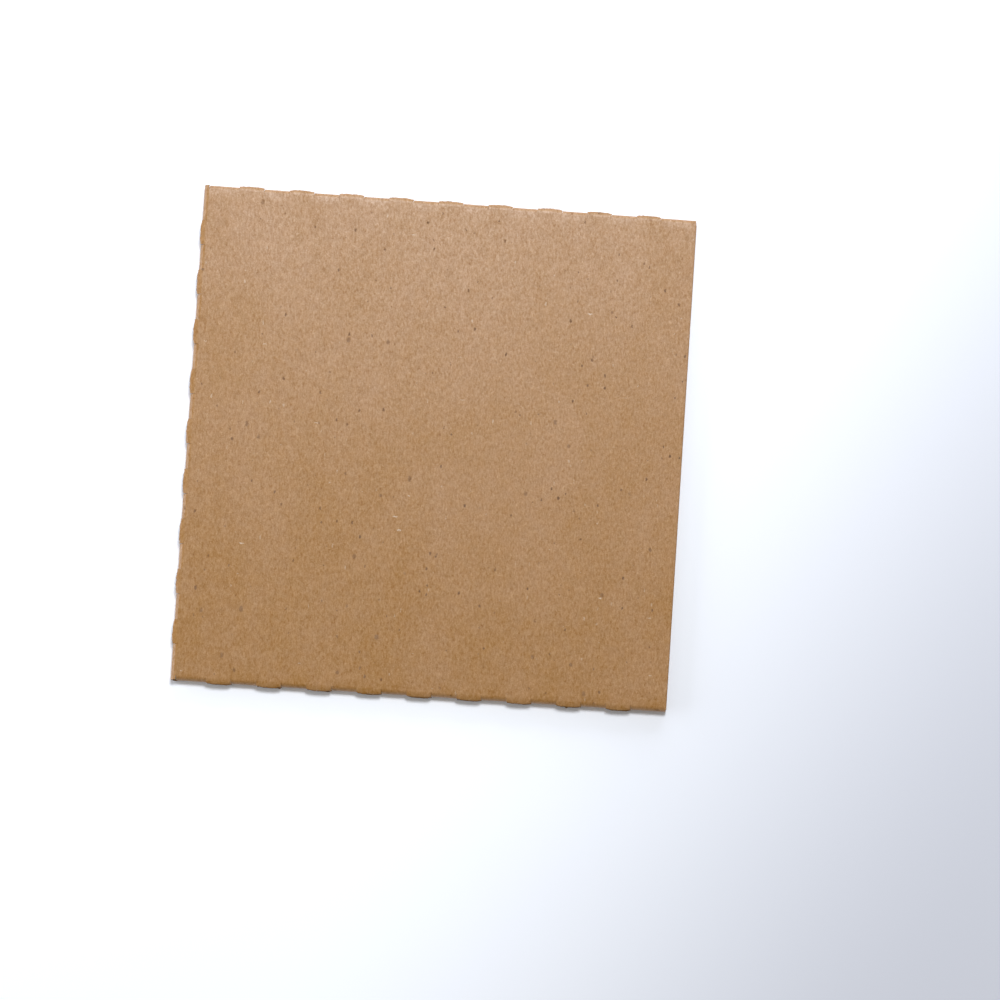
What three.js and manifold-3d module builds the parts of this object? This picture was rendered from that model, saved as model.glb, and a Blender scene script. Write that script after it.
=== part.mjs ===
// A square pocket for a disc, folded from one sheet of recycled kraft board and glued.
// The spine, top and bottom are cut-and-crease folds: a dashed rule cuts the board in short
// stretches and creases it between them. The creases roll over, and the cut stretches stay
// flat and stand a little past the roll as tabs. The fourth side is the open mouth.
// Millimetres. +Z up, the back panel underneath, the mouth towards +X, the spine at -X.

import * as THREE from "three";
import { mergeVertices } from "three/addons/utils/BufferGeometryUtils.js";
import Module from "manifold-3d";

// Driving dimensions
const sleeveWidth = 126; // outside of the spine's roll to the mouth's edge
const sleeveHeight = 126; // outside of the top roll to outside of the bottom roll
const boardThickness = 0.5;
const pocketGap = 1.8; // free space between the front panel and the back panel
const cutLength = 6.35; // each cut of the dashed rule, a quarter of an inch
const creaseLength = 6.35; // each crease between two cuts
const leastPlainEnd = 8; // shortest uncut stretch left at either end of a fold
const tabProud = 0.4; // how far a tab stands past the roll beside it
const tabSideGap = 0.15; // slit between a tab and the crease beside it
const tabCorner = 0.3; // corner worn off each tab
const flapDepth = 18; // inner flap, from the outside of its fold to its free edge
const flapTaper = 7; // each end of a flap draws in this much towards its free edge
const flapSpineGap = 1; // room between a flap and the spine's roll
const backInset = 0.8; // back panel's free edges stop this far inside the top and bottom rolls
const frontLeanX = -0.45; // front panel's drift over the back one, as the pocket was pressed flat
const frontLeanY = 0.5;
const arcSteps = 10; // flats in each half-round roll

// Levels and radii that follow from them
const frontBottom = boardThickness + pocketGap;
const sleeveThickness = frontBottom + boardThickness;
const spineRadius = sleeveThickness / 2;
const flapFoldRadius = (sleeveThickness - boardThickness) / 2;
const mouthX = sleeveWidth / 2;
const spineX = -mouthX + spineRadius; // where the spine's roll starts
const foldY = sleeveHeight / 2 - flapFoldRadius; // where the top roll starts
const sideY = sleeveHeight / 2;

const wasm = await Module();
wasm.setup();

function solidFrom(geometry) {
  geometry.deleteAttribute("normal");
  geometry.deleteAttribute("uv");
  const merged = mergeVertices(geometry, 1e-5);
  const vertProperties = new Float32Array(merged.attributes.position.array);
  const triVerts = new Uint32Array(merged.index.array);
  return new wasm.Manifold(new wasm.Mesh({ numProp: 3, vertProperties, triVerts }));
}

// A flat plate of board with its underside at a level
function plate(points, level) {
  const shape = new THREE.Shape(points.map(([x, y]) => new THREE.Vector2(x, y)));
  const geometry = new THREE.ExtrudeGeometry(shape, { depth: boardThickness, bevelEnabled: false });
  return solidFrom(geometry.translate(0, 0, level));
}

// Where the cuts of the dashed rule fall on a fold of a given length, centred on it
function cutStretches(length) {
  const pitch = cutLength + creaseLength;
  const count = Math.max(0, Math.floor((length - 2 * leastPlainEnd + creaseLength) / pitch));
  const first = -(count * pitch - creaseLength) / 2;
  return Array.from({ length: count }, (_, i) => [first + i * pitch, first + i * pitch + cutLength]);
}

// The creased stretches that the cuts leave between two ends of a fold
function creaseStretches(length, start, end) {
  const marks = [start, ...cutStretches(length).flat(), end];
  const pairs = [];
  for (let i = 0; i < marks.length; i += 2) pairs.push([marks[i], marks[i + 1]]);
  return pairs;
}

// The edge of a panel along one fold, from start to end, with a flat tab at each cut.
// toPlan turns (distance along the fold, distance out of it) into (x, y).
function tabbedEdge(length, foldRadius, toPlan) {
  const reach = foldRadius + tabProud;
  const corner = Math.min(tabCorner, reach / 2, cutLength / 4);
  const points = [];
  for (const [cutStart, cutEnd] of cutStretches(length)) {
    const from = cutStart + tabSideGap;
    const to = cutEnd - tabSideGap;
    points.push([from, 0], [from, reach - corner], [from + corner, reach]);
    points.push([to - corner, reach], [to, reach - corner], [to, 0]);
  }
  return points.map(([along, out]) => toPlan(along, out));
}

const topTabs = tabbedEdge(sleeveWidth, flapFoldRadius, (along, out) => [along, foldY + out]);
const bottomTabs = topTabs.map(([x, y]) => [x, -y]);
const spineTabs = tabbedEdge(sleeveHeight, spineRadius, (along, out) => [spineX - out, along]);

// Front panel, tabbed on its three folded sides
function frontPanel() {
  const outline = [
    [mouthX, -foldY],
    [mouthX, foldY],
    ...topTabs.toReversed(),
    [spineX, foldY],
    ...spineTabs.toReversed(),
    [spineX, -foldY],
    ...bottomTabs,
  ];
  return plate(outline, frontBottom);
}

// Back panel, tabbed at the spine alone, its other sides cut straight
function backPanel() {
  const edgeY = sideY - backInset;
  const outline = [
    [mouthX, -edgeY],
    [mouthX, edgeY],
    [spineX, edgeY],
    ...spineTabs.toReversed(),
    [spineX, -edgeY],
  ];
  return plate(outline, 0);
}

// Inner flap at the top, glued down on the inside of the back panel
function topFlap() {
  const freeY = sideY - flapDepth;
  const spineEnd = spineX + flapSpineGap;
  const outline = [
    [spineEnd, foldY],
    [spineEnd + flapTaper, freeY],
    [mouthX - flapTaper, freeY],
    [mouthX, foldY],
    ...topTabs.toReversed(),
  ];
  return plate(outline, boardThickness);
}

// Half-round section of a crease, opening towards -X, its middle at the origin
function rollSection(radius) {
  const inner = radius - boardThickness;
  const shape = new THREE.Shape();
  shape.absarc(0, 0, radius, -Math.PI / 2, Math.PI / 2, false);
  shape.absarc(0, 0, inner, Math.PI / 2, -Math.PI / 2, true);
  shape.closePath();
  return shape;
}

function rollAlongX(radius, from, to) {
  const options = { depth: to - from, bevelEnabled: false, curveSegments: arcSteps / 2 };
  const geometry = new THREE.ExtrudeGeometry(rollSection(radius), options);
  geometry.rotateY(Math.PI / 2);
  geometry.rotateX(Math.PI / 2);
  return geometry.translate(from, 0, 0);
}

// Creases of the spine. The two end ones run on to the corners.
function spineRolls() {
  return creaseStretches(sleeveHeight, -sideY, sideY).map(([from, to]) => {
    const geometry = rollAlongX(spineRadius, from, to);
    geometry.rotateZ(Math.PI / 2);
    return solidFrom(geometry.translate(spineX, 0, spineRadius));
  });
}

// Creases between the front panel and the top flap
function topRolls() {
  return creaseStretches(sleeveWidth, spineX, mouthX).map(([from, to]) => {
    const geometry = rollAlongX(flapFoldRadius, from, to);
    return solidFrom(geometry.translate(0, foldY, boardThickness + flapFoldRadius));
  });
}

// What the sleeve may fill, seen from its end: round over the top and bottom folds, and
// straight down to the back panel. It rounds the corners off where two folds meet.
function endEnvelope() {
  const middle = boardThickness + flapFoldRadius;
  const backY = sideY - backInset;
  const shape = new THREE.Shape();
  shape.moveTo(-backY, 0);
  shape.lineTo(backY, 0);
  shape.lineTo(backY, boardThickness);
  shape.absarc(foldY, middle, flapFoldRadius, -Math.PI / 2, Math.PI / 2, false);
  shape.absarc(-foldY, middle, flapFoldRadius, Math.PI / 2, (3 * Math.PI) / 2, false);
  shape.lineTo(-backY, boardThickness);
  shape.closePath();
  const length = 2 * sleeveWidth;
  const options = { depth: length, bevelEnabled: false, curveSegments: arcSteps / 2 };
  const geometry = new THREE.ExtrudeGeometry(shape, options);
  geometry.rotateY(Math.PI / 2);
  geometry.rotateX(Math.PI / 2);
  return solidFrom(geometry.translate(-length / 2, 0, 0));
}

function foldedSheet() {
  const envelope = endEnvelope();
  const upperHalf = [topFlap(), ...topRolls()].reduce((all, piece) => all.add(piece));
  let sheet = frontPanel().add(backPanel()).add(upperHalf).add(upperHalf.mirror([0, 1, 0]));
  for (const roll of spineRolls()) sheet = sheet.add(roll.intersect(envelope));
  return sheet;
}

// Lean the pocket over, then centre it on its box with its underside at zero
function settled(solid) {
  const { vertProperties, triVerts } = solid.getMesh();
  const geometry = new THREE.BufferGeometry();
  geometry.setAttribute("position", new THREE.BufferAttribute(vertProperties, 3));
  geometry.setIndex(new THREE.BufferAttribute(triVerts, 1));
  const leanX = frontLeanX / frontBottom;
  const leanY = frontLeanY / frontBottom;
  geometry.applyMatrix4(new THREE.Matrix4().set(1, 0, leanX, 0, 0, 1, leanY, 0, 0, 0, 1, 0, 0, 0, 0, 1));
  geometry.computeBoundingBox();
  const middle = geometry.boundingBox.getCenter(new THREE.Vector3());
  geometry.translate(-middle.x, -middle.y, -geometry.boundingBox.min.z);
  geometry.computeVertexNormals();
  return geometry;
}

const kraftBoard = new THREE.MeshStandardMaterial({ color: 0xb89472, roughness: 0.95, metalness: 0 });
const sleeve = new THREE.Mesh(settled(foldedSheet()), kraftBoard);
sleeve.name = "sleeve";

const group = new THREE.Group();
group.add(sleeve);

export default group;
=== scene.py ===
import math

import bmesh
import bpy
from mathutils import Matrix, Vector, noise


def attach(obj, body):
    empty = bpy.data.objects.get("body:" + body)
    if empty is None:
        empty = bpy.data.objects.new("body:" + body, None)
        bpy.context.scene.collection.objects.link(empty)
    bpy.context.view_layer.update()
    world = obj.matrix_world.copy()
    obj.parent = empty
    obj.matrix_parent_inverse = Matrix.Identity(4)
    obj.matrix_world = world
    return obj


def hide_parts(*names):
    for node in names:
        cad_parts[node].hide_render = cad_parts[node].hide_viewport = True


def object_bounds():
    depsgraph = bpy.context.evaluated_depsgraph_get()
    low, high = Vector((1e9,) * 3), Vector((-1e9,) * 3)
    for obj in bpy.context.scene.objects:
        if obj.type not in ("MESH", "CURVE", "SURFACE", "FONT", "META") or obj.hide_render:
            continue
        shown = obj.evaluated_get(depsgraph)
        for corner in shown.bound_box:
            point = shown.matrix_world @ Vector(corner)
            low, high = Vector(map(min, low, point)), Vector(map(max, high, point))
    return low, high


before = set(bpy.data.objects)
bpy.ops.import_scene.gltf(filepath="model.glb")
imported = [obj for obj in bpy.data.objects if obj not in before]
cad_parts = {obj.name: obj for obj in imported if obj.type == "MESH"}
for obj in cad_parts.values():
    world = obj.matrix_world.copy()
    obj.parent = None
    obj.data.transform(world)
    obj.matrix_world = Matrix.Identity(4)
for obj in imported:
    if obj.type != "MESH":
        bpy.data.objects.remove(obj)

cadLow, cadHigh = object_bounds()
mm = 0.001
tiny = 1e-6    # places closer than this count as the same


# Selecting and editing helpers

def pickPieces(*pieces):
    # the first of them becomes the active one
    bpy.ops.object.select_all(action="DESELECT")
    for piece in pieces:
        piece.select_set(True)
    bpy.context.view_layer.objects.active = pieces[0]


def startEdit(piece):
    pickPieces(piece)
    bpy.ops.object.mode_set(mode="EDIT")
    bpy.ops.mesh.select_all(action="DESELECT")


def endEdit():
    bpy.ops.object.mode_set(mode="OBJECT")


def pickEdges(piece, wanted):
    # selects the edges whose two ends and middle all pass the test
    bpy.ops.mesh.select_mode(type="EDGE")
    bpy.ops.mesh.select_all(action="DESELECT")
    mesh = bmesh.from_edit_mesh(piece.data)
    for edge in mesh.edges:
        first, last = edge.verts[0].co, edge.verts[1].co
        if wanted(first) and wanted(last) and wanted((first + last) / 2):
            edge.select_set(True)
    bmesh.update_edit_mesh(piece.data)


def near(a, b):
    return abs(a - b) < 2 * tiny


def blendIn(value, low, high):
    # 0 below low, 1 above high, smooth between
    share = min(1.0, max(0.0, (value - low) / (high - low)))
    return share * share * (3 - 2 * share)


def finishWith(piece, kind, **settings):
    pickPieces(piece)
    modifier = piece.modifiers.new(kind.title(), kind)
    for name, value in settings.items():
        setattr(modifier, name, value)
    bpy.ops.object.modifier_apply(modifier=modifier.name)


# The folded board, made first as a sheet with no thickness, halfway through the board

sleeve = {
    "side": 126 * mm,         # over the folds one way, spine to mouth the other way
    "board": 0.5 * mm,
    "pocketGap": 1.8 * mm,
    "cut": 6.35 * mm,         # the dashed rule cuts a quarter inch, then creases a quarter inch
    "crease": 6.35 * mm,
    "cutsPerFold": 9,
    "tabProud": {"spine": 0.06 * mm, "top": 0.12 * mm, "bottom": 0.24 * mm},    # past the rolls beside them
    "tabRows": (0.08, 0.52, 0.25, 0.15),    # shares of a tab, from the fold to its frayed end
    "tabRowsToSplit": 2,      # the last rows are split once more each, so that they can fray
    "flapDepth": 18 * mm,
    "flapTaper": 7 * mm,
    "flapSlit": 0.06 * mm,    # from the spine's roll to the start of a flap's roll
    "glueLine": 0.03 * mm,
    "backInset": 0.8 * mm,
    "cornerStep": 0.1 * mm,   # the spine strip ends this far inside the rolls
    "lean": Vector((-0.45, 0.5, 0)) * mm,    # front panel's drift over the back one
    "rollSteps": 10,
}

board = sleeve["board"]
half = sleeve["side"] / 2
backLevel = board / 2
flapLevel = board * 1.5 + sleeve["glueLine"]
frontLevel = board * 1.5 + sleeve["pocketGap"]
spineRadius = (frontLevel - backLevel) / 2
flapRadius = (frontLevel - flapLevel) / 2
spineX = -half + spineRadius + board / 2    # where the spine's roll starts
foldY = half - flapRadius - board / 2       # where the top and bottom rolls start
slitX = spineX + sleeve["flapSlit"]
backY = half - sleeve["backInset"]
pitch = sleeve["cut"] + sleeve["crease"]
firstCut = -(sleeve["cutsPerFold"] * pitch - sleeve["crease"]) / 2
cuts = [(firstCut + i * pitch, firstCut + i * pitch + sleeve["cut"]) for i in range(sleeve["cutsPerFold"])]
scores = [end for cut in cuts for end in cut]


def inCut(along):
    return any(low - tiny < along < high + tiny for low, high in cuts)


def inCrease(along):
    return not any(low + tiny < along < high - tiny for low, high in cuts)


def makeCard(name, lowX, highX, lowY, highY, level, scoresX, scoresY):
    # a flat card, scored right across at each place given
    bpy.ops.object.select_all(action="DESELECT")
    middle = ((lowX + highX) / 2, (lowY + highY) / 2, level)
    bpy.ops.mesh.primitive_plane_add(size=1, location=middle)
    card = bpy.context.active_object
    card.name = name
    card.scale = (highX - lowX, highY - lowY, 1)
    bpy.ops.object.transform_apply(location=True, rotation=True, scale=True)
    startEdit(card)
    for place in scoresX:
        bpy.ops.mesh.select_all(action="SELECT")
        bpy.ops.mesh.bisect(plane_co=(place, 0, level), plane_no=(1, 0, 0), threshold=tiny)
    for place in scoresY:
        bpy.ops.mesh.select_all(action="SELECT")
        bpy.ops.mesh.bisect(plane_co=(0, place, level), plane_no=(0, 1, 0), threshold=tiny)
    endEdit()
    return card


def tabReach(fold):
    foldRadius = spineRadius if fold == "spine" else flapRadius
    return foldRadius + board / 2 + sleeve["tabProud"][fold]


def pullTabs(card, onFold, outward, reach):
    # pulls a flat tab out of each cut, split ever finer towards its end
    startEdit(card)
    pickEdges(card, onFold)
    plainRows = len(sleeve["tabRows"]) - sleeve["tabRowsToSplit"]
    for row, share in enumerate(sleeve["tabRows"]):
        bpy.ops.mesh.extrude_region_move(TRANSFORM_OT_translate={"value": tuple(outward * reach * share)})
        if row >= plainRows:
            bpy.ops.mesh.subdivide(number_cuts=1)
    endEdit()


def rollCreases(card, onFold, middle, axis):
    # rolls each crease of a fold over by half a turn
    startEdit(card)
    pickEdges(card, onFold)
    bpy.ops.mesh.spin(steps=sleeve["rollSteps"], angle=math.pi, center=middle, axis=axis, dupli=False)
    endEdit()


def foldSpine(front, back):
    def onFold(p):
        return near(p.x, spineX) and near(p.z, frontLevel)

    middle = (spineX, 0, (frontLevel + backLevel) / 2)
    rollCreases(front, lambda p: onFold(p) and inCrease(p.y), middle, (0, 1, 0))
    pullTabs(front, lambda p: onFold(p) and inCut(p.y), Vector((-1, 0, 0)), tabReach("spine"))
    pullTabs(back, lambda p: near(p.x, spineX) and inCut(p.y), Vector((-1, 0, 0)), tabReach("spine"))
    # the strip runs on past the panels at both ends and squares off the corners
    for side in (1, -1):
        startEdit(front)
        pickEdges(front, lambda p: near(p.y, side * foldY) and p.x < spineX + tiny)
        for step in (backY - foldY, half - sleeve["cornerStep"] - backY):
            bpy.ops.mesh.extrude_region_move(TRANSFORM_OT_translate={"value": (0, side * step, 0)})
        endEdit()


def foldFlap(front, side):
    # a flap, turned in on to the back panel along the top (side 1) or the bottom (side -1)
    edgeY = side * foldY
    freeY = side * (half - sleeve["flapDepth"])
    low, high = sorted((edgeY, freeY))
    flap = makeCard("flap", slitX, half, low, high, flapLevel, scores, [])
    slope = sleeve["flapTaper"] / (high - low)
    startEdit(flap)
    for end, x in ((-1, slitX), (1, half)):
        bpy.ops.mesh.select_all(action="SELECT")
        bpy.ops.mesh.bisect(plane_co=(x, edgeY, flapLevel), plane_no=(end, -side * slope, 0),
                            clear_outer=True, threshold=tiny)
    endEdit()

    def onFold(p):
        return near(p.y, edgeY) and near(p.z, frontLevel) and p.x > slitX - tiny

    middle = (0, edgeY, (frontLevel + flapLevel) / 2)
    reach = tabReach("top" if side > 0 else "bottom")
    rollCreases(front, lambda p: onFold(p) and inCrease(p.x), middle, (side, 0, 0))
    pullTabs(front, lambda p: onFold(p) and inCut(p.x), Vector((0, side, 0)), reach)
    pullTabs(flap, lambda p: near(p.y, edgeY) and inCut(p.x), Vector((0, side, 0)), reach)
    return flap


def foldSheet():
    front = makeCard("kraftSleeve", spineX, half, -foldY, foldY, frontLevel, [slitX, *scores], scores)
    back = makeCard("backPanel", spineX, half, -backY, backY, backLevel, scores, [-foldY, *scores, foldY])
    foldSpine(front, back)
    flaps = [foldFlap(front, 1), foldFlap(front, -1)]
    pickPieces(front, back, *flaps)
    bpy.ops.object.join()
    startEdit(front)
    bpy.ops.mesh.select_all(action="SELECT")
    bpy.ops.mesh.remove_doubles(threshold=2 * tiny)
    bpy.ops.mesh.normals_make_consistent(inside=False)
    endEdit()
    finishWith(front, "SUBSURF", subdivision_type="SIMPLE", levels=2, render_levels=2)
    return front


# Wear, and the way the pocket lies

wear = {
    "slit": 0.05 * mm,        # a tab draws in this far from the crease beside it
    "frayStart": 0.6,         # share of the tab where the fray begins
    "fray": 0.13 * mm,
    "frayWidth": 0.45 * mm,
    "corner": 0.24 * mm,
    "cornerWidth": 1.5 * mm,
    "unevenCut": 0.07 * mm,   # one tab stands further out than the next
    "lift": 0.1 * mm,         # most that a tab curls up or down
    "liftWidth": 4 * mm,
    "droop": 0.3 * mm,        # the upper tabs bend down a little with the rolls beside them
    "bow": 0.3 * mm,          # front panel's rise at the middle of the mouth
    "cockle": 0.05 * mm,
    "cockleWidth": 30 * mm,
    "crushedRoll": 0.035 * mm,
    "crushWidth": 2.2 * mm,
}


def wearTab(p, outward, along, out, reach):
    # along is the axis that the fold runs on, out the distance from the fold line
    number = min(range(len(cuts)), key=lambda i: abs(sum(cuts[i]) / 2 - p[along]))
    offset = p[along] - sum(cuts[number]) / 2
    # a seed of its own for each tab, by its number, level and fold
    seed = Vector((number * 7.3, p.z * 9000 + along * 31, outward.y * 17))
    share = out / reach
    atEnd = blendIn(share, wear["frayStart"], 1.0)
    ragged = noise.fractal(Vector((p[along] / wear["frayWidth"], 0, 0)) + seed, 1.0, 2.0, 3)
    atCorner = blendIn(abs(offset), sleeve["cut"] / 2 - wear["cornerWidth"], sleeve["cut"] / 2)
    change = ragged * wear["fray"] - atCorner * wear["corner"]
    moved = p + outward * change * atEnd
    moved += outward * noise.noise(seed * 1.7) * wear["unevenCut"] * share
    moved[along] -= offset / (sleeve["cut"] / 2) * wear["slit"] * min(1, share / sleeve["tabRows"][0])
    curl = noise.noise(seed * 2.9 + Vector((offset / wear["liftWidth"], 0, 0)))
    moved.z += curl * wear["lift"] * share * share
    if near(p.z, frontLevel):
        moved.z -= wear["droop"] * share * share
    return moved


def wearPoint(p):
    pastSpine = p.x < spineX - tiny
    pastEnd = abs(p.y) > foldY + tiny
    onFront, onFlap, onBack = (near(p.z, level) for level in (frontLevel, flapLevel, backLevel))
    if pastSpine and abs(p.y) < foldY and (onFront or onBack):
        moved = wearTab(p, Vector((-1, 0, 0)), 1, spineX - p.x, tabReach("spine"))
    elif pastEnd and p.x > slitX - tiny and (onFront or onFlap):
        reach = tabReach("top" if p.y > 0 else "bottom")
        moved = wearTab(p, Vector((0, math.copysign(1, p.y), 0)), 0, abs(p.y) - foldY, reach)
    else:
        moved = p.copy()
        if pastSpine or pastEnd:
            crush = noise.noise(p / wear["crushWidth"]) * wear["crushedRoll"]
            rolled = math.sin(math.pi * min(1, max(0, (p.z - backLevel) / (frontLevel - backLevel))))
            moved[0 if pastSpine else 1] += crush * rolled
    upper = blendIn(p.z, flapLevel, frontLevel)
    fromMouth = (half - p.x) / sleeve["side"]
    arch = (1 - min(1, (p.y / half) ** 2)) * (1 - min(1, fromMouth ** 2))
    cockle = wear["cockle"] * noise.noise(p / wear["cockleWidth"])
    moved.z += upper * (wear["bow"] * arch + cockle * arch)
    return moved


def wearAndLean(sheet):
    for vertex in sheet.data.vertices:
        worn = wearPoint(vertex.co)
        vertex.co = worn + sleeve["lean"] * (worn.z / (board + sleeve["pocketGap"]))
    sheet.data.update()


def centreOnFrame(piece):
    # the pocket's box is centred on the CAD's, with its underside on the floor
    places = [vertex.co for vertex in piece.data.vertices]
    for axis in range(3):
        low = min(p[axis] for p in places)
        high = max(p[axis] for p in places)
        shift = (cadLow[axis] + cadHigh[axis] - low - high) / 2 if axis < 2 else cadLow[axis] - low
        for p in places:
            p[axis] += shift
    piece.data.update()


# Shader nodes

def addNode(tree, kind, values=None, **settings):
    node = tree.nodes.new("ShaderNode" + kind)
    for name, value in settings.items():
        setattr(node, name, value)
    for name, value in (values or {}).items():
        node.inputs[name].default_value = value
    return node


def feed(tree, source, socket):
    if isinstance(source, bpy.types.NodeSocket):
        tree.links.new(source, socket)
    else:
        socket.default_value = source


def work(tree, operation, a, b=0.0, c=0.0):
    node = addNode(tree, "Math", operation=operation)
    for source, socket in zip((a, b, c), node.inputs):
        feed(tree, source, socket)
    return node.outputs[0]


def mixColour(tree, share, a, b, way="MIX"):
    # a Mix node keeps its factor first, and its colours at sockets 6 and 7
    node = addNode(tree, "Mix", data_type="RGBA", blend_type=way)
    feed(tree, share, node.inputs[0])
    feed(tree, a, node.inputs[6])
    feed(tree, b, node.inputs[7])
    return node.outputs[2]


def stretch(tree, vector, scale, turn=(0, 0, 0), place=(0, 0, 0)):
    node = addNode(tree, "Mapping", {"Scale": scale, "Rotation": turn, "Location": place})
    feed(tree, vector, node.inputs["Vector"])
    return node.outputs[0]


def clouds(tree, vector, scale, detail=2.0, roughness=0.5, distortion=0.0):
    values = {"Scale": scale, "Detail": detail, "Roughness": roughness, "Distortion": distortion}
    node = addNode(tree, "TexNoise", values)
    feed(tree, vector, node.inputs["Vector"])
    return node.outputs["Fac"]


def between(tree, value, low, high, toLow=0.0, toHigh=1.0):
    node = addNode(tree, "MapRange", interpolation_type="SMOOTHSTEP")
    for name, source in (("From Min", low), ("From Max", high), ("To Min", toLow), ("To Max", toHigh)):
        feed(tree, source, node.inputs[name])
    feed(tree, value, node.inputs["Value"])
    return node.outputs[0]


def newGroup(name, inputs, outputs):
    group = bpy.data.node_groups.new(name, "ShaderNodeTree")
    for label, kind, value in inputs:
        socket = group.interface.new_socket(name=label, in_out="INPUT", socket_type="NodeSocket" + kind)
        socket.default_value = value
    for label, kind in outputs:
        group.interface.new_socket(name=label, in_out="OUTPUT", socket_type="NodeSocket" + kind)
    return group, group.nodes.new("NodeGroupInput"), group.nodes.new("NodeGroupOutput")


def scatter(tree, vector, squash, scale, share, size, turn=(0, 0, 0), place=(0, 0, 0)):
    # spots in a share of the cells of a jumbled grid, each of its own size and strength
    cells = addNode(tree, "TexVoronoi", {"Scale": scale, "Randomness": 1.0})
    feed(tree, stretch(tree, vector, squash, turn=turn, place=place), cells.inputs["Vector"])
    pick = addNode(tree, "SeparateColor")
    feed(tree, cells.outputs["Color"], pick.inputs[0])
    chosen = work(tree, "LESS_THAN", pick.outputs[0], share)
    radius = work(tree, "MULTIPLY_ADD", pick.outputs[1], size * 0.7, size * 0.35)
    spot = between(tree, cells.outputs["Distance"], radius, work(tree, "MULTIPLY", radius, 0.55))
    rare = work(tree, "MULTIPLY", pick.outputs[2], pick.outputs[2])
    strength = work(tree, "MULTIPLY_ADD", rare, 0.7, 0.3)
    return work(tree, "MULTIPLY", work(tree, "MULTIPLY", chosen, spot), strength)


# The board's pulp: fibre grain along the sheet, mottling, dark and pale flecks

pulp = {
    "fibreAcross": 1.9,       # per millimetre
    "fibreAlong": 0.95,
    "fibreTint": (0.40, 0.30, 0.205),       # what a pale fibre adds, and a dark one takes
    "fibreMiddle": 0.8,       # the grain's middle value, which leaves the board's colour as it is
    "cloudTint": (0.085, 0.078, 0.082),
    "cloudMiddle": 0.8,
    "fleckBend": (0.7, 0.7, 0.7),
    "paleFlecks": 0.64,
    "paleFleckRise": 0.4,
    "roughBetweenFibres": 0.5,
    "roughOnFibres": 0.38,
    "darkFleckRoughness": 0.4,
}

# Kinds of fleck. Scale counts cells per millimetre, share those that hold a fleck, and size is
# the greatest radius as a part of a cell.
flecks = {
    "speck": {"squash": (1, 0.62, 1), "scale": 0.5, "share": 0.42, "size": 0.19},
    "chip": {"squash": (1, 0.7, 1), "scale": 0.22, "share": 0.4, "size": 0.155,
             "turn": (0, 0, 0.5), "place": (31, 7, 3)},
    "lint": {"squash": (1.2, 0.4, 1.2), "scale": 0.5, "share": 0.3, "size": 0.15, "place": (5, 50, 9)},
    "hair": {"squash": (0.34, 1.5, 1), "scale": 0.45, "share": 0.12, "size": 0.13,
             "turn": (0, 0, 0.4), "place": (77, 3, 1)},
}


def strands(tree, vector, scale, turn, strength):
    # thin curled fibres, drawn where a cloud crosses its middle value and broken up by another cloud
    curl = clouds(tree, stretch(tree, vector, (scale, scale * 0.7, scale), turn=turn), 1, 1, 0.5, 1.2)
    off = work(tree, "ABSOLUTE", work(tree, "SUBTRACT", curl, 0.5))
    thread = between(tree, off, 0.02, 0.004)
    gaps = between(tree, clouds(tree, stretch(tree, vector, (0.9, 0.9, 0.9), place=turn), 1, 1), 0.5, 0.62)
    return work(tree, "MULTIPLY", work(tree, "MULTIPLY", thread, gaps), strength)


def addTint(tree, amount, tint, colour):
    node = addNode(tree, "VectorMath", operation="MULTIPLY_ADD")
    for source, socket in zip((amount, tint, colour), node.inputs):
        feed(tree, source, socket)
    return node.outputs[0]


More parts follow.
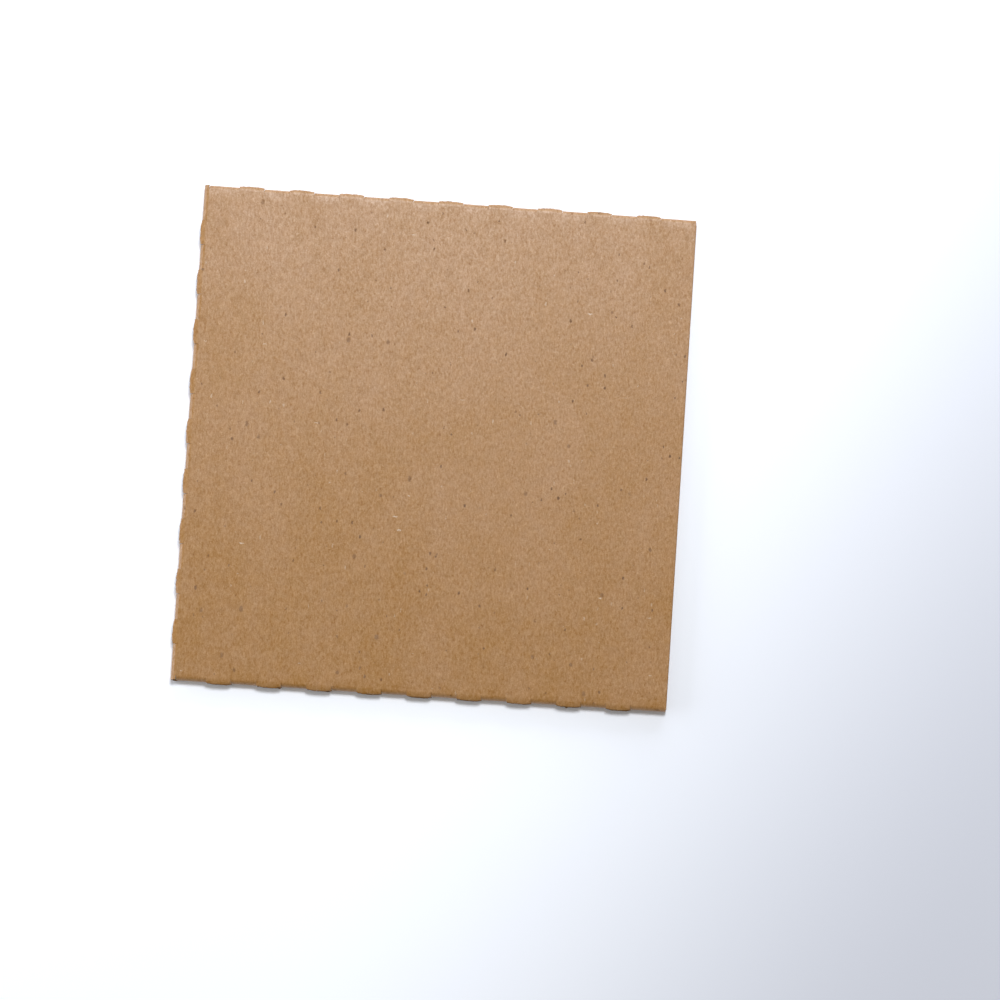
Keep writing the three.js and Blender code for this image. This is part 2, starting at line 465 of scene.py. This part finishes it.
def makePulpGroup():
    inputs = [
        ("Place", "Vector", (0, 0, 0)),
        ("Board", "Color", (0.4, 0.22, 0.09, 1)),
        ("Dark Fleck", "Color", (0.075, 0.025, 0.003, 1)),
        ("Pale Fleck", "Color", (0.8, 0.65, 0.48, 1)),
        ("Grain", "Float", 1.0),
        ("Mottle", "Float", 1.0),
        ("Flecks", "Float", 1.0),
    ]
    outputs = [("Color", "Color"), ("Height", "Float"), ("Roughness", "Float")]
    tree, given, result = newGroup("recycledPulp", inputs, outputs)
    place = given.outputs["Place"]

    # fibres lie mostly along Y, with a few across
    across, along = pulp["fibreAcross"], pulp["fibreAlong"]
    fibres = clouds(tree, stretch(tree, place, (across, along, across)), 1, 3, 0.62, 0.35)
    crossed = stretch(tree, place, (across, along, across), turn=(0.3, 0.2, 1.1))
    crossing = clouds(tree, crossed, 1.2, 2, 0.6)
    grit = clouds(tree, place, 3.2, 1)
    weave = work(tree, "MULTIPLY_ADD", crossing, 0.45, work(tree, "MULTIPLY", fibres, 0.8))
    weave = work(tree, "MULTIPLY_ADD", grit, 0.35, weave)
    weave = work(tree, "ADD", weave, strands(tree, place, 0.42, (0.2, 0.1, 0.5), 0.16))
    weave = work(tree, "SUBTRACT", weave, strands(tree, place, 0.36, (0.1, 0.3, 2.0), 0.13))
    grained = work(tree, "MULTIPLY", work(tree, "SUBTRACT", weave, pulp["fibreMiddle"]),
                   given.outputs["Grain"])

    # mottling of the pulp, from finger-wide clouds down to a few millimetres
    wide = clouds(tree, stretch(tree, place, (0.05, 0.035, 0.05)), 1, 3, 0.6)
    narrow = clouds(tree, stretch(tree, place, (0.32, 0.24, 0.32)), 1, 2, 0.55)
    cloudy = work(tree, "MULTIPLY_ADD", narrow, 0.6, wide)
    mottled = work(tree, "MULTIPLY", work(tree, "SUBTRACT", cloudy, pulp["cloudMiddle"]),
                   given.outputs["Mottle"])

    # the hue wanders a little from cooler to warmer
    wander = clouds(tree, place, 0.4, 1)
    tint = mixColour(tree, between(tree, wander, 0.3, 0.7), (0.99, 1.0, 1.03, 1), (1.01, 1.0, 0.97, 1))
    colour = mixColour(tree, 1.0, given.outputs["Board"], tint, "MULTIPLY")
    colour = addTint(tree, mottled, pulp["cloudTint"], colour)
    colour = addTint(tree, grained, pulp["fibreTint"], colour)

    # flecks, drawn out along the sheet and bent by the grain
    bent = addNode(tree, "VectorMath", operation="MULTIPLY_ADD")
    ripple = addNode(tree, "TexNoise", {"Scale": 2.2, "Detail": 2.0})
    feed(tree, place, ripple.inputs["Vector"])
    feed(tree, ripple.outputs["Color"], bent.inputs[0])
    feed(tree, pulp["fleckBend"], bent.inputs[1])
    feed(tree, place, bent.inputs[2])
    speck, chip, lint, hair = (scatter(tree, bent.outputs[0], **kind) for kind in flecks.values())
    darkMask = work(tree, "MULTIPLY", work(tree, "MAXIMUM", speck, chip), given.outputs["Flecks"])
    paleMask = work(tree, "MULTIPLY", work(tree, "MAXIMUM", lint, hair), pulp["paleFlecks"])
    paleMask = work(tree, "MULTIPLY", paleMask, given.outputs["Flecks"])
    colour = mixColour(tree, darkMask, colour, given.outputs["Dark Fleck"])
    colour = mixColour(tree, paleMask, colour, given.outputs["Pale Fleck"])

    feed(tree, colour, result.inputs["Color"])
    height = work(tree, "MULTIPLY_ADD", paleMask, pulp["paleFleckRise"], weave)
    feed(tree, height, result.inputs["Height"])
    satin = between(tree, weave, 0.5, 1.1, pulp["roughBetweenFibres"], pulp["roughOnFibres"])
    roughness = work(tree, "MULTIPLY_ADD", darkMask, pulp["darkFleckRoughness"], satin)
    feed(tree, roughness, result.inputs["Roughness"])
    return tree


def makeBoardFinish(name, pulpGroup, values, relief, fuzz, mapScale):
    # the mapping turns the object's metres into millimetres
    material = bpy.data.materials.new(name)
    material.use_nodes = True
    tree = material.node_tree
    shader = tree.nodes["Principled BSDF"]
    shader.inputs["Sheen Weight"].default_value = fuzz
    shader.inputs["Sheen Roughness"].default_value = 0.45
    shader.inputs["Specular IOR Level"].default_value = 0.7
    coordinates = addNode(tree, "TexCoord")
    fibre = tree.nodes.new("ShaderNodeGroup")
    fibre.node_tree = pulpGroup
    feed(tree, stretch(tree, coordinates.outputs["Object"], mapScale), fibre.inputs["Place"])
    for label, value in values.items():
        fibre.inputs[label].default_value = value
    bump = addNode(tree, "Bump", {"Strength": 1.0, "Distance": relief})
    feed(tree, fibre.outputs["Height"], bump.inputs["Height"])
    feed(tree, fibre.outputs["Color"], shader.inputs["Base Color"])
    feed(tree, fibre.outputs["Roughness"], shader.inputs["Roughness"])
    feed(tree, bump.outputs[0], shader.inputs["Normal"])
    return material


pulpGroup = makePulpGroup()
faceValues = {"Board": (0.394, 0.188, 0.051, 1)}
# painted shade: the cut edge's board colour is set darker than the face's, standing for the shade that
# falls on the edges
edgeValuesWithPaintedShade = {"Board": (0.28, 0.158, 0.075, 1), "Grain": 1.3, "Flecks": 0.6}
kraftFace = makeBoardFinish("kraftFace", pulpGroup, faceValues,
                            relief=0.025 * mm, fuzz=0.22, mapScale=(1000, 1000, 1000))
# the cut edge shows the board's layers, so its grain is finer through the thickness
kraftCutEdge = makeBoardFinish("kraftCutEdge", pulpGroup, edgeValuesWithPaintedShade,
                               relief=0.06 * mm, fuzz=0.6, mapScale=(1000, 1000, 4000))
print("board finishes ready")


# Build the sleeve

sheet = foldSheet()
wearAndLean(sheet)
sheet.data.materials.append(kraftFace)
sheet.data.materials.append(kraftCutEdge)
finishWith(sheet, "SOLIDIFY", thickness=board, offset=0, material_offset_rim=1)
centreOnFrame(sheet)
bpy.ops.object.shade_smooth_by_angle(angle=math.radians(35))
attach(sheet, "root")
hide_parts("sleeve")
print("sleeve folded:", len(sheet.data.polygons), "faces")


# Floor, lights and camera

studio = {
    "floorSize": 4.0,
    "floorDrop": 0.02 * mm,   # just under the sleeve
    "floorPale": (0.85, 0.85, 0.85, 1),
    "floorSeen": (1.16, 1.16, 1.16, 1),     # for the camera alone, so that it reads as white
    "floorSeenPaintedShade": (0.74, 0.74, 0.775, 1),     # painted shade: for the camera the floor greys towards the bottom right corner
    "shadeSlope": -0.45,
    "shadeStart": 0.022,
    "shadeEnd": 0.2,
    "keyPlace": Vector((20, 345, 730)) * mm,
    "keyAim": Vector((0, 20, 0)) * mm,
    "keySize": (0.25, 0.25),
    "keyPower": 4.15,
    "keyColour": (0.94, 0.995, 1.08),       # cool light from above, warm light from the room
    "skyColour": (1.04, 1.0, 0.93, 1),
    "backPlace": Vector((60, 720, 190)) * mm,     # two low panels brighten the rolled folds
    "backPower": 3.2,
    "leftPlace": Vector((-680, 40, 180)) * mm,
    "leftPower": 3.0,
    "panelColour": (0.86, 0.97, 1.18),
    "panelSize": (0.8, 0.35),
    "skyStrength": 0.24,
}


def makeFloor():
    bpy.ops.object.select_all(action="DESELECT")
    place = (0, 0, cadLow[2] - studio["floorDrop"])
    bpy.ops.mesh.primitive_plane_add(size=studio["floorSize"], location=place)
    floor = bpy.context.active_object
    floor.name = "studioFloor"
    bpy.ops.object.transform_apply(location=True, rotation=True, scale=True)
    material = bpy.data.materials.new("paleFloor")
    material.use_nodes = True
    tree = material.node_tree
    tree.nodes.remove(tree.nodes["Principled BSDF"])
    shader = addNode(tree, "BsdfDiffuse")
    coordinates = addNode(tree, "TexCoord")
    axes = addNode(tree, "SeparateXYZ")
    path = addNode(tree, "LightPath")
    feed(tree, coordinates.outputs["Object"], axes.inputs[0])
    # painted shade: for the camera the floor's colour fades from white to grey towards the bottom right
    # corner
    slope = work(tree, "MULTIPLY_ADD", axes.outputs["Y"], studio["shadeSlope"], axes.outputs["X"])
    shade = between(tree, slope, studio["shadeStart"], studio["shadeEnd"])
    seen = mixColour(tree, shade, studio["floorSeen"], studio["floorSeenPaintedShade"])
    colour = mixColour(tree, path.outputs["Is Camera Ray"], studio["floorPale"], seen)
    feed(tree, colour, shader.inputs["Color"])
    feed(tree, shader.outputs[0], tree.nodes["Material Output"].inputs["Surface"])
    floor.data.materials.append(material)


def addLamp(name, shape, place, power, size, colour):
    bpy.ops.object.select_all(action="DESELECT")
    bpy.ops.object.light_add(type="AREA", location=place)
    lamp = bpy.context.active_object
    lamp.name = name
    lamp.data.shape = shape
    lamp.data.size, lamp.data.size_y = size
    lamp.data.energy = power
    lamp.data.color = colour
    lamp.rotation_euler = (studio["keyAim"] - place).to_track_quat("-Z", "Y").to_euler()


def makeLights():
    addLamp("keyLight", "DISK", studio["keyPlace"], studio["keyPower"], studio["keySize"],
            studio["keyColour"])
    addLamp("backPanelLight", "RECTANGLE", studio["backPlace"], studio["backPower"], studio["panelSize"],
            studio["panelColour"])
    addLamp("leftPanelLight", "RECTANGLE", studio["leftPlace"], studio["leftPower"], studio["panelSize"],
            studio["panelColour"])
    world = bpy.data.worlds.new("studioSky")
    bpy.context.scene.world = world
    world.use_nodes = True
    sky = world.node_tree.nodes["Background"]
    sky.inputs["Color"].default_value = studio["skyColour"]
    # the camera sees a plain white sky, and the light from it is weaker
    path = addNode(world.node_tree, "LightPath")
    seen = path.outputs["Is Camera Ray"]
    strength = between(world.node_tree, seen, 0.0, 1.0, studio["skyStrength"], 1.0)
    feed(world.node_tree, strength, sky.inputs["Strength"])


# The camera stands nearly overhead, as solved from the front panel's four corners
view = {
    "lens": 120,
    "sensor": 36,
    "target": Vector((17.38, -11.79, 2.0)) * mm,
    "distance": 849.2 * mm,
    "azimuth": math.radians(-140.78),
    "tilt": math.radians(4.132),
    "roll": math.radians(-3.741),
}


def makeCamera():
    azimuth, tilt, roll = view["azimuth"], view["tilt"], view["roll"]
    back = Vector((math.cos(azimuth) * math.sin(tilt), math.sin(azimuth) * math.sin(tilt), math.cos(tilt)))
    level = Vector((0, 1, 0))
    up = (level - back * level.dot(back)).normalized()
    right = up.cross(back)
    turnedUp = up * math.cos(roll) + right * math.sin(roll)
    turnedRight = right * math.cos(roll) - up * math.sin(roll)
    bpy.ops.object.select_all(action="DESELECT")
    bpy.ops.object.camera_add()
    camera = bpy.context.active_object
    camera.name = "overheadCamera"
    turn = Matrix((turnedRight, turnedUp, back)).transposed().to_4x4()
    camera.matrix_world = Matrix.Translation(view["target"] + back * view["distance"]) @ turn
    camera.data.lens = view["lens"]
    camera.data.sensor_width = view["sensor"]
    bpy.context.scene.camera = camera


makeFloor()
makeLights()
makeCamera()
bpy.context.scene.view_settings.view_transform = "Standard"
print("floor, lights and camera set")

bpy.context.view_layer.update()
